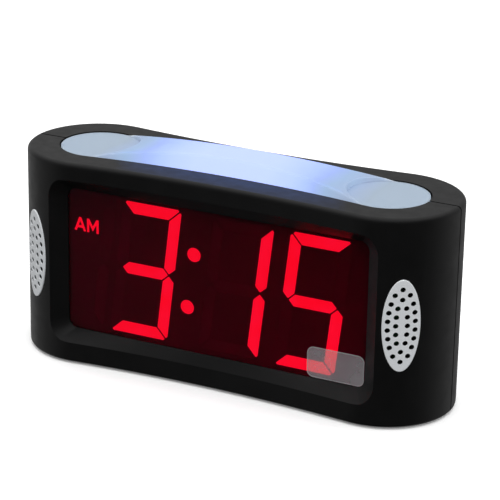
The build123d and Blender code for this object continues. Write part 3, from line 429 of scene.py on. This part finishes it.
def make_camera():
    data = bpy.data.cameras.new("camera")
    data.lens = CAMERA_LENS
    data.sensor_width = CAMERA_SENSOR
    data.shift_x, data.shift_y = CAMERA_SHIFT
    data.clip_start = CAMERA_NEAREST
    camera = bpy.data.objects.new("camera", data)
    bpy.context.scene.collection.objects.link(camera)
    tilt = Matrix.Rotation(math.radians(90.0 + CAMERA_PITCH), 4, "X")
    turn = Matrix.Rotation(math.radians(CAMERA_YAW), 4, "Z")
    roll = Matrix.Rotation(math.radians(CAMERA_ROLL), 4, "Z")
    camera.matrix_world = Matrix.Translation(CAMERA_PLACE) @ turn @ tilt @ roll
    bpy.context.scene.camera = camera


def make_floor():
    mesh = bpy.data.meshes.new("floor")
    grid = bmesh.new()
    bmesh.ops.create_grid(grid, x_segments=1, y_segments=1, size=FLOOR_HALF)
    grid.to_mesh(mesh)
    grid.free()
    floor = bpy.data.objects.new("floor", mesh)
    bpy.context.scene.collection.objects.link(floor)
    nodes = Nodes("floor_white")
    shader = nodes.surface(Roughness=0.9, Specular_IOR_Level=0.0,
                           Emission_Color=(1.0, 1.0, 1.0, 1.0), Emission_Strength=FLOOR_GLOW)
    nodes.join(nodes.cloud(nodes.noise(scale=3.0), FLOOR_DARK, FLOOR_LIGHT),
               shader.inputs["Base Color"])
    mesh.materials.append(nodes.material)
    # Its white would show in the clock's gloss and in the window, so only the camera sees it.
    floor.visible_glossy = False
    floor.visible_diffuse = False
    floor.visible_transmission = False


class World:
    """The world's node tree, with short calls to add and join nodes."""

    def __init__(self):
        world = bpy.data.worlds.new("studio")
        bpy.context.scene.world = world
        world.use_nodes = True
        self.tree = world.node_tree
        self.tree.nodes.clear()
        coordinates = self.tree.nodes.new("ShaderNodeTexCoord")
        self.axes = self.tree.nodes.new("ShaderNodeSeparateXYZ")
        self.tree.links.new(coordinates.outputs["Generated"], self.axes.inputs[0])

    def slope(self, axis, low, high, to_low, to_high):
        """A smooth step along one world axis."""
        node = self.tree.nodes.new("ShaderNodeMapRange")
        node.interpolation_type = "SMOOTHSTEP"
        for key, value in (("From Min", low), ("From Max", high), ("To Min", to_low),
                           ("To Max", to_high)):
            node.inputs[key].default_value = value
        self.tree.links.new(self.axes.outputs[axis], node.inputs["Value"])
        return node.outputs[0]

    def total(self, a, b):
        node = self.tree.nodes.new("ShaderNodeMath")
        node.operation = "ADD"
        self.tree.links.new(a, node.inputs[0])
        self.tree.links.new(b, node.inputs[1])
        return node.outputs[0]

    def light(self, strength=None):
        """White light, as strong as another node says, or 1."""
        node = self.tree.nodes.new("ShaderNodeBackground")
        node.inputs["Color"].default_value = (1.0, 1.0, 1.0, 1.0)
        if strength is not None:
            self.tree.links.new(strength, node.inputs["Strength"])
        return node.outputs[0]

    def choose(self, factor, first, second):
        """The first light where the factor is 0, and the second where it is 1."""
        node = self.tree.nodes.new("ShaderNodeMixShader")
        self.tree.links.new(factor, node.inputs["Fac"])
        self.tree.links.new(first, node.inputs[1])
        self.tree.links.new(second, node.inputs[2])
        return node.outputs[0]


def make_world():
    """White backdrop for the camera, and a soft room for the clock's light and reflections."""
    world = World()
    path = world.tree.nodes.new("ShaderNodeLightPath")
    sides = world.total(world.slope(*ROOM_SEEN_BEHIND), world.slope(*ROOM_SEEN_LEFT))
    reflected = world.light(world.total(sides, world.slope(*ROOM_SEEN_ABOVE)))
    soft = world.light(world.slope(*ROOM_SOFT))
    room = world.choose(path.outputs["Is Glossy Ray"], soft, reflected)
    output = world.tree.nodes.new("ShaderNodeOutputWorld")
    world.tree.links.new(world.choose(path.outputs["Is Camera Ray"], room, world.light()),
                         output.inputs["Surface"])


def area_light(name, place, aim, size, power):
    data = bpy.data.lights.new(name, "AREA")
    data.shape = "RECTANGLE"
    data.size, data.size_y = size
    data.energy = power
    light = bpy.data.objects.new(name, data)
    bpy.context.scene.collection.objects.link(light)
    light.location = place
    light.rotation_euler = (Vector(aim) - Vector(place)).to_track_quat("-Z", "Y").to_euler()
    return light


def make_lights():
    for name, facts in (("top_box", TOP_LIGHT), ("front_key", FRONT_LIGHT)):
        studio = area_light(name, aim=CLOCK_MIDDLE, **facts)
        studio.visible_glossy = False
    for side in (-1, 1):
        mirror = Vector((1, side, 1))
        spill = area_light("lens_spill", Vector(SPILL_PLACE) * mirror,
                           Vector(SPILL_AIM) * mirror, SPILL_SIZE, SPILL_POWER)
        spill.data.shape = "ELLIPSE"
        spill.data.color = SPILL_COLOUR
        spill.visible_camera = False
    # These stand for the lens's light on the rim, so the rim doesn't reflect the lens as well.
    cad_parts["snooze_bar"].visible_glossy = False


make_camera()
make_floor()
make_world()
make_lights()
finish_cad_nodes()
make_return_springs()
bpy.context.scene.view_settings.view_transform = "Standard"
